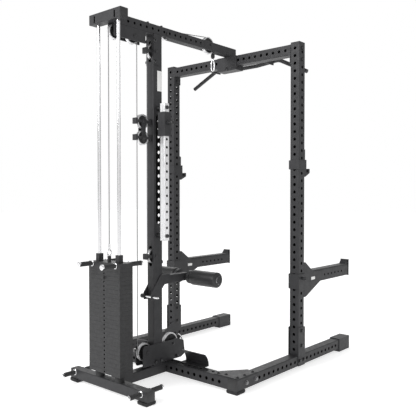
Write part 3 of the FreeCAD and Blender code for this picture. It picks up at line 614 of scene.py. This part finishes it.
def make_pulleys(rim_metal, plastic, steel):
    """Grooved rims on ribbed plastic wheels, each with a bearing in its hub."""
    for node in PULLEYS:
        centre, cable, half = pulley_facts(node)
        outer = cable + 3 * MM
        shape = Shape()
        lip = [(-half, outer - 7 * MM), (-half, outer - 1.2 * MM), (-half + 1 * MM, outer)]
        lip += [(-half + 2.6 * MM, outer), (-half + 3.8 * MM, outer - 0.8 * MM)]
        groove = [(-3.6 * MM, cable - 0.4 * MM), (-2.6 * MM, cable - 2.4 * MM), (-1 * MM, cable - 3.1 * MM)]
        side = lip + groove
        rim = side + [(-along, radius) for along, radius in reversed(side)]
        inner = outer - 9 * MM
        rim += [(half - 3 * MM, inner), (-half + 3 * MM, inner)]
        ring_profile(shape, rim, centre, X_AXIS, rim_metal, 96)
        web = 3.5 * MM
        shape_points = [(-web - 1.5 * MM, inner + 0.5 * MM), (-web, inner - 3 * MM), (-web, 17 * MM)]
        shape_points += [(-half + 1 * MM, 15 * MM), (-half + 0.5 * MM, 11 * MM)]
        disc = shape_points + [(-along, radius) for along, radius in reversed(shape_points)]
        ring_profile(shape, disc, centre, X_AXIS, plastic, 64)
        bearing = [(-half + 1 * MM, 11 * MM), (-half, 10.6 * MM), (-half, 6.4 * MM)]
        race = bearing + [(-along, radius) for along, radius in reversed(bearing)]
        ring_profile(shape, race, centre, X_AXIS, steel, 40)
        for number in range(6):
            turn = Matrix.Rotation(math.radians(60 * number), 3, "X")
            low = centre + Vector((-half + 4 * MM, -1.5 * MM, 14 * MM))
            high = centre + Vector((half - 4 * MM, 1.5 * MM, inner + 0.5 * MM))
            shape.block(low, high, plastic, 0.6 * MM, turn, centre)
        shape.piece(node + "_wheel", body_of(node), "chrome", node)


def peg_parts(shape, root, way, length, grip, metal):
    """A band peg: collar, ribbed grip and domed tip."""
    collar = [(0, 16 * MM), (0.6 * MM, 18 * MM), (6.5 * MM, 18 * MM), (8 * MM, 16 * MM), (8 * MM, 12 * MM)]
    shape.lathe(collar, root, way, metal, 48)
    end = length - 12 * MM
    start = 8 * MM
    profile = []
    ribs = int((end - start) / (3.2 * MM))
    for number in range(ribs):
        at = start + (end - start) * number / ribs
        step = (end - start) / ribs
        profile += [(at, 13.2 * MM), (at + 0.35 * step, 14 * MM), (at + 0.65 * step, 14 * MM)]
    profile.append((end, 13.2 * MM))
    shape.lathe(profile, root, way, grip, 40)
    tip = [(end, 12 * MM), (end, 15.4 * MM), (end + 1 * MM, 16 * MM), (length - 2.5 * MM, 16 * MM)]
    tip += [(length - 0.7 * MM, 14.6 * MM), (length, 12 * MM), (length - 0.6 * MM, 6 * MM)]
    shape.lathe(tip, root, way, metal, 48)


def make_pegs(grip, metal):
    for node, body in (("base_band_pegs", "frame"), ("stack_band_pegs", "stack")):
        boxes = islands(node)
        middle_y = sum((low.y + high.y) / 2 for low, high in boxes) / len(boxes)
        shape = Shape()
        for low, high in boxes:
            centre = (low + high) / 2
            way = Y_AXIS if centre.y > middle_y else -Y_AXIS
            length = high.y - low.y
            peg_parts(shape, centre - way * length / 2, way, length, grip, metal)
        shape.piece(node + "_detail", body, "chrome", node)


def make_knobs(plastic, metal):
    """The selector pin, the carriage's pop pin and the roller's lock pin."""
    low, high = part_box("selector_pin")
    centre = (low + high) / 2
    shape = Shape()
    face = high.y - 12 * MM
    start = Vector((centre.x, low.y, centre.z))
    reach = face - low.y
    shape.lathe([(0, 4 * MM), (1.5 * MM, 5.1 * MM), (reach, 5.1 * MM)], start, Y_AXIS, metal, 32)
    knob = [(0, 7 * MM), (0.8 * MM, 8.2 * MM), (3 * MM, 8.4 * MM), (5 * MM, 7 * MM), (8 * MM, 8.6 * MM)]
    knob += [(10.8 * MM, 9 * MM), (11.8 * MM, 7.4 * MM), (12 * MM, 4 * MM)]
    shape.lathe(knob, (centre.x, face, centre.z), Y_AXIS, plastic, 40)
    shape.piece("selector_knob", "selector", "black_plastic", "selector_pin")

    low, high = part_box("carriage_pin")
    centre = (low + high) / 2
    shape = Shape()
    end = Vector((high.x, centre.y, centre.z))
    length = high.x - low.x
    shape.lathe([(0, 3.4 * MM), (2 * MM, 4.9 * MM), (length - 28 * MM, 4.9 * MM)], end, -X_AXIS, metal, 32)
    knob = [(length - 29.5 * MM, 7 * MM), (length - 28.5 * MM, 9 * MM), (length - 20 * MM, 8.6 * MM)]
    knob += [(length - 17 * MM, 12 * MM), (length - 14 * MM, 13 * MM), (length - 4 * MM, 13 * MM)]
    knob += [(length - 1 * MM, 11.6 * MM), (length, 8 * MM)]
    shape.lathe(knob, end, -X_AXIS, plastic, 48)
    shape.piece("carriage_knob", "carriage_pin", "black_plastic", "carriage_pin")

    low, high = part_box("roller_pin")
    centre = (low + high) / 2
    shape = Shape()
    start = Vector((low.x, centre.y, centre.z))
    length = high.x - low.x
    shank = [(0, 3.5 * MM), (1.5 * MM, 5.6 * MM), (6 * MM, 5.8 * MM), (7.4 * MM, 7 * MM)]
    shape.lathe(shank + [(length - 26 * MM, 7 * MM)], start, X_AXIS, metal, 40)
    grip = [(length - 26 * MM, 7.5 * MM), (length - 25 * MM, 10 * MM), (length - 19 * MM, 10 * MM)]
    grip += [(length - 16 * MM, 13 * MM), (length - 13 * MM, 14 * MM), (length - 4 * MM, 14 * MM)]
    grip += [(length - 1 * MM, 12.5 * MM), (length, 8 * MM)]
    shape.lathe(grip, start, X_AXIS, plastic, 48)
    shape.piece("roller_pin_detail", "roller_pin", "chrome", "roller_pin")


# Cables and hooks


def on_pulley(node, angle):
    """The point of a pulley's cable circle at an angle, from +Y towards +Z."""
    centre, radius, _ = pulley_facts(node)
    turn = math.radians(angle)
    return centre + Vector((0, radius * math.cos(turn), radius * math.sin(turn)))


def around(node, first, last):
    steps = max(2, int(abs(last - first) / 5))
    return [on_pulley(node, first + (last - first) * step / steps) for step in range(steps + 1)]


def shared_tangent(first, second):
    """The angle of the cable that runs along the upper side of two pulleys."""
    one, first_radius, _ = pulley_facts(first)
    two, second_radius, _ = pulley_facts(second)
    way = two - one
    heading = math.degrees(math.atan2(way.z, way.y))
    return heading + math.degrees(math.acos((first_radius - second_radius) / way.length))


CABLE = 2.75 * MM
ROW_REST = 46 * MM


def cable_piece(name, body, path, material, node):
    shape = Shape()
    shape.tube(path, CABLE, material, 14)
    return shape.piece(name, body, "cable_jacket", node)


def stretching(name, start, end, material, node):
    """A straight run of cable between the frame and something that moves."""
    steps = 12
    points = [Vector(start).lerp(Vector(end), step / steps) for step in range(steps + 1)]
    run = cable_piece(name, None, points, material, node)
    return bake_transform(run)


def crimp(shape, centre, way, radius, length, metal):
    """A pressed sleeve on a cable."""
    profile = [(0, radius * 0.6), (length * 0.06, radius)]
    for number in range(3):
        at = length * (0.2 + 0.25 * number)
        profile += [(at, radius), (at + length * 0.03, radius * 0.86), (at + length * 0.1, radius * 0.86)]
        profile.append((at + length * 0.13, radius))
    profile += [(length * 0.95, radius), (length, radius * 0.6)]
    shape.lathe(profile, centre, way, metal, 32)


def make_cables(jacket, rubber_stuff):
    lat_off = shared_tangent("lat_pulley", "beam_pulley")
    beam_off = shared_tangent("beam_pulley", "column_pulley")
    path = around("lat_pulley", 180, lat_off) + around("beam_pulley", lat_off, beam_off)
    path += around("column_pulley", beam_off, 0)
    cable_piece("lat_cable_front", "frame", path, jacket, "lat_cable")
    path = around("stack_pulley", 0, 90) + around("drop_pulley", 90, 180)
    cable_piece("lat_cable_rear", "frame", path, jacket, "lat_cable")
    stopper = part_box("lat_hook")[1].z
    side = on_pulley("lat_pulley", 180)
    stretching("lat_cable_drop", side, (0, side.y, stopper), jacket, "lat_cable")

    under = shared_tangent("low_rear_pulley", "low_front_pulley")
    path = around("low_rear_pulley", 360, under) + around("low_front_pulley", under, 210)
    cable_piece("row_cable_low", "frame", path, jacket, "row_cable")
    start, way = row_start()
    stretching("row_cable_end", start, start + way * ROW_REST, jacket, "row_cable")
    bottom = on_pulley("anchor_pulley", 270)
    stop = Vector((0, bottom.y - 61 * MM, bottom.z))
    path = around("anchor_pulley", 360, 270) + [stop]
    cable_piece("row_cable_anchored", "frame", path, jacket, "row_cable")
    shape = Shape()
    profile = [(0, 6 * MM), (0.8 * MM, 11.6 * MM), (3 * MM, 13 * MM), (16 * MM, 13 * MM), (22 * MM, 9 * MM)]
    shape.lathe(profile, stop - Y_AXIS * 22 * MM, Y_AXIS, rubber_stuff, 40)
    shape.piece("row_anchor_stop", "frame", "rubber", "row_cable")

    for name, node, first, last in (
        ("block_arc_upper", "upper_floating_pulley", 180, 360),
        ("block_arc_lower", "lower_floating_pulley", 0, 180),
    ):
        cable_piece(name, "block", around(node, first, last), jacket, "block_cables")
    upper = middle("upper_floating_pulley").z
    lower = middle("lower_floating_pulley").z
    runs = (
        ("block_run_drop", "drop_pulley", 180, upper),
        ("block_run_column", "column_pulley", 0, upper),
        ("block_run_low", "low_rear_pulley", 0, lower),
        ("block_run_anchor", "anchor_pulley", 0, lower),
    )
    for name, node, angle, level in runs:
        start = on_pulley(node, angle)
        stretching(name, start, (0, start.y, level), jacket, "block_cables")

    start = on_pulley("stack_pulley", 0)
    end = (0, start.y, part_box("stack_hook")[1].z)
    stretching("stack_cable_run", start, end, jacket, "stack_cable")


def row_start():
    """Where the row cable leaves its front pulley, and which way it goes."""
    turn = math.radians(210)
    return on_pulley("low_front_pulley", 210), Vector((0, math.sin(turn), -math.cos(turn)))


def snap_hook(shape, top, way, length, width, metal):
    """A snap hook that hangs from a point along a direction, lying in the plane with X."""
    middle_point = top + way * length / 2
    path = []
    for step in range(48):
        angle = 2 * math.pi * step / 48
        rise = math.sin(angle)
        swing = math.copysign(abs(math.cos(angle)) ** 0.8, math.cos(angle)) * (1 - 0.14 * -rise)
        path.append(middle_point + X_AXIS * swing * width / 2 + way * rise * length / 2)
    shape.tube(path, 4.3 * MM, metal, 16, closed=True)
    side = middle_point + X_AXIS * width / 2
    gate = [(-length * 0.24, 3 * MM), (-length * 0.23, 4.6 * MM)]
    gate += [(length * 0.2, 4.8 * MM), (length * 0.23, 3.4 * MM)]
    shape.lathe(gate, side, way, metal, 24)
    rivet = side - way * length * 0.25
    pin = [(-5 * MM, 2 * MM), (-4.7 * MM, 2.4 * MM), (4.7 * MM, 2.4 * MM), (5 * MM, 2 * MM)]
    shape.lathe(pin, rivet, Y_AXIS, metal, 20)


def make_hooks(metal, rubber_stuff):
    """The lat and row snap hooks under their stoppers, and the stack's ring."""
    shape = Shape()
    centre = middle("lat_hook")
    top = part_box("lat_hook")[1].z
    ball = [(0, 6 * MM), (1 * MM, 10 * MM), (6 * MM, 13.4 * MM), (16 * MM, 14 * MM), (26 * MM, 13.2 * MM)]
    ball += [(33 * MM, 9.5 * MM), (36 * MM, 5 * MM)]
    shape.lathe(ball, (0, centre.y, top), -Z_AXIS, rubber_stuff, 40)
    eye = Vector((0, centre.y, top - 36 * MM))
    swivel = [(0, 6 * MM), (1 * MM, 7.6 * MM), (9 * MM, 8 * MM), (12 * MM, 6 * MM)]
    shape.lathe(swivel, eye, -Z_AXIS, metal, 32)
    snap_hook(shape, Vector((0, centre.y, top - 42 * MM)), -Z_AXIS, 78 * MM, 27 * MM, metal)
    shape.piece("lat_snap_hook", "lat_hook", "chrome", "lat_hook")

    start, way = row_start()
    rest = start + way * ROW_REST
    shape = Shape()
    ball = [(0, 6 * MM), (1 * MM, 10 * MM), (5 * MM, 12.6 * MM), (13 * MM, 13 * MM)]
    ball += [(20 * MM, 12 * MM), (26 * MM, 5 * MM)]
    shape.lathe(ball, rest, way, rubber_stuff, 40)
    hang = Vector((0, -0.42, -0.9)).normalized()
    top = rest + way * 24 * MM + Vector((0, -1.5, 6)) * MM
    snap_hook(shape, top, hang, 64 * MM, 27 * MM, metal)
    shape.piece("row_snap_hook", "row_hook", "chrome", "row_hook")

    low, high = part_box("stack_hook")
    centre = (low + high) / 2
    shape = Shape()
    loop = Vector((0, centre.y, low.z + 20 * MM))
    path = []
    for step in range(40):
        angle = 2 * math.pi * step / 40
        path.append(loop + Vector((0, 15.5 * MM * math.cos(angle), 15.5 * MM * math.sin(angle) * 1.02)))
    shape.tube(path, 4 * MM, metal, 16, closed=True)
    foot = loop - Z_AXIS * 20 * MM
    base = [(0, 9 * MM), (1 * MM, 10 * MM), (5 * MM, 10 * MM), (7 * MM, 7 * MM)]
    shape.lathe(base, foot, Z_AXIS, metal, 32)
    crimp(shape, loop + Z_AXIS * 14 * MM, Z_AXIS, 7 * MM, high.z - loop.z - 14 * MM, metal)
    shape.piece("stack_hook_detail", "stack", "chrome", "stack_hook")


# Foam rollers, feet and caps


def make_rollers(skin, metal, plastic):
    """Padded rollers with rounded shoulders and a bolted cap on each outer end."""
    for side in ("left", "right"):
        node = side + "_foam_roller"
        low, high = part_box(node)
        centre = (low + high) / 2
        half = (high.x - low.x) / 2
        radius = (high.z - low.z) / 2
        shape = Shape()
        profile = [(-half, 13 * MM), (-half + 0.2 * MM, radius * 0.55), (-half + 1.4 * MM, radius * 0.8)]
        for step in range(9):
            angle = math.radians(90 * step / 8)
            across = radius - 9 * MM + 8.6 * MM * math.sin(angle)
            profile.append((-half + 2 * MM + 9 * MM * (1 - math.cos(angle)), across))
        profile += [(-half + 13 * MM, radius - 0.9 * MM), (-half + 14.5 * MM, radius - 0.3 * MM)]
        lengths = 18
        for step in range(1, lengths):
            along = -half + 15 * MM + (half * 2 - 30 * MM) * step / lengths
            crown = 1 - (along / half) ** 4
            profile.append((along, radius - 0.5 * MM + 0.5 * MM * crown))
        profile += [(-a, r) for a, r in reversed(profile[:14])]
        ring_profile(shape, profile, centre, X_AXIS, skin, 96)
        soft = shape.piece(node + "_foam", node, "foam", node)
        way = X_AXIS if centre.x > 0 else -X_AXIS
        shape = Shape()
        cap = [(0, 24 * MM), (0.4 * MM, 24.6 * MM), (4.6 * MM, 24.6 * MM)]
        cap += [(6 * MM, 23 * MM), (6.6 * MM, 14 * MM)]
        shape.lathe(cap, centre + way * (half + 1.2 * MM), way, metal, 64)
        bolt = [(0, 9.6 * MM), (1.2 * MM, 10 * MM), (3 * MM, 8.6 * MM)]
        bolt += [(3.2 * MM, 4.6 * MM), (1.4 * MM, 4.2 * MM)]
        shape.lathe(bolt, centre + way * (half + 6.4 * MM), way, plastic, 32)
        shape.piece(node + "_end_cap", "roller_frame", "chrome")


def make_feet(stuff):
    """Rubber blocks under the rack and the tower, narrower at the floor."""
    shape = Shape()
    for low, high in islands("rubber_feet"):
        shape.block(low + Vector((0, 0, 4 * MM)), high, stuff, 1.5 * MM)
        inset = Vector((3 * MM, 3 * MM, 0))
        shape.block(low + inset, Vector((high.x, high.y, low.z + 5 * MM)) - inset, stuff, 0.8 * MM)
        band = Vector((*low.xy, high.z - 8 * MM)), Vector((*high.xy, high.z - 6 * MM))
        shape.block(*band, stuff, 0.4 * MM)
    shape.piece("rubber_feet_detail", "frame", "rubber", "rubber_feet")


def make_caps(plastic):
    """Tube plugs with a slightly raised middle."""
    shape = Shape()
    for low, high in islands("end_caps"):
        size = high - low
        axis = min(range(3), key=lambda number: size[number])
        shape.block(low, high, plastic, 1.0 * MM)
        grow = Vector((9 * MM, 9 * MM, 9 * MM))
        grow[axis] = 0
        lift = Vector((0, 0, 0))
        outward = 1 if axis == 2 or (low + high)[axis] > 0 else -1
        lift[axis] = 0.9 * MM * outward
        shape.block(low + grow + lift, high - grow + lift, plastic, 0.8 * MM)
    shape.piece("tube_plugs", "frame", "black_plastic", "end_caps")


def make_badges(white):
    """Plain pale plates without any mark, where the real ones are lettered."""
    shape = Shape()
    side = -30 * MM
    shape.block((side - 0.8 * MM, 0.431, 1.81), (side + 0.5 * MM, 0.469, 1.937), white, 0.4 * MM)
    shape.piece("column_badge", "frame", "black_plastic")
    for name in ("left", "right"):
        centre = middle(name + "_upright").x
        shape = Shape()
        for way in (-1, 1):
            face = centre + way * 34 * MM
            ends = sorted((face - way * 0.5 * MM, face + way * 0.8 * MM))
            shape.block((ends[0], -0.476, 0.578), (ends[1], -0.426, 0.598), white, 0.3 * MM)
        shape.piece(name + "_arm_badge", name + "_spotter_arm", "black_plastic")


# The CAD nodes that stay


def finish_nodes(finishes):
    """Gives each CAD node that stays its own finish."""
    for material, names in finishes:
        for name in names:
            data = nodes[name].data
            data.materials.clear()
            data.materials.append(material)
            data.polygons.foreach_set("material_index", [0] * len(data.polygons))


def paint_tube_shade_inside(tubes, shade_material):
    """Paints shade on the inner walls of tubes, between two corners, with a near-black material of their
    own.
    """
    for name, low, high in tubes:
        data = nodes[name].data
        data.materials.append(shade_material)
        for face in data.polygons:
            if all(low[number] < face.center[number] < high[number] for number in range(3)):
                face.material_index = 1


def inner_space(name, axis, wall):
    """The space inside a plain tube that runs along one axis."""
    low, high = (corner.copy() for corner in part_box(name))
    for number in range(3):
        inset = -wall if number == axis else wall
        low[number] += inset
        high[number] -= inset
    return name, low, high


def arm_space(side):
    """The space inside a spotter arm's tube."""
    centre = middle(side + "_upright").x
    low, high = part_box(side + "_spotter_arm")
    reach = 28.5 * MM
    floor, roof = 0.5565, 0.6335
    return side + "_spotter_arm", (centre - reach, low.y - 1, floor), (centre + reach, high.y, roof)


powder = powder_coat()
plates_coat = stack_coat()
bright = chrome()
rail_metal = brushed()
zinc = black_zinc()
rubber_stuff = rubber()
plastic = moulded()
skin = foam_skin()
jacket = cable_skin()
grip = knurled()
white = badge_white()

make_camera()
make_studio()
finish_nodes(
    [
        (powder, ["left_upright", "right_upright", "left_base_tube", "right_base_tube", "rear_cross_tube"]),
        (powder, ["top_crossmember", "joint_plates", "front_feet", "overhead_beam", "beam_saddle"]),
        (powder, ["head_cross_tube", "column", "tower_base", "pulley_side_plates", "low_pulley_housing"]),
        (powder, ["foot_rests", "pull_up_bar", "roller_frame", "left_spotter_arm", "right_spotter_arm"]),
        (powder, ["left_j_cup", "right_j_cup", "rail_carriage", "floating_block"]),
        (plates_coat, ["weight_plates", "lifted_plates", "head_plate"]),
        (bright, ["guide_rods"]),
        (rail_metal, ["slide_rail"]),
        (zinc, ["rail_mounts"]),
        (rubber_stuff, ["stack_bumpers"]),
    ]
)
# Painted shade inside the plain tubes, the spotter arms and the column, seen through their holes.
paint_tube_shade_inside(
    [inner_space(name, axis, 2 * MM) for name, axis in PLAIN_TUBES]
    + [arm_space("left"), arm_space("right"), ("column", (-0.0285, 0.4285, 0), (0.0285, 0.5005, 3))],
    painted_tube_shade(),
)
make_fasteners(zinc, grey_zinc())
make_axle_bolts(zinc)
make_pulleys(turned_alloy(), plastic, zinc)
make_pegs(grip, bright)
make_knobs(plastic, bright)
make_cables(jacket, rubber_stuff)
make_hooks(bright, rubber_stuff)
make_rollers(skin, bright, plastic)
make_feet(rubber_stuff)
make_caps(plastic)
make_badges(white)
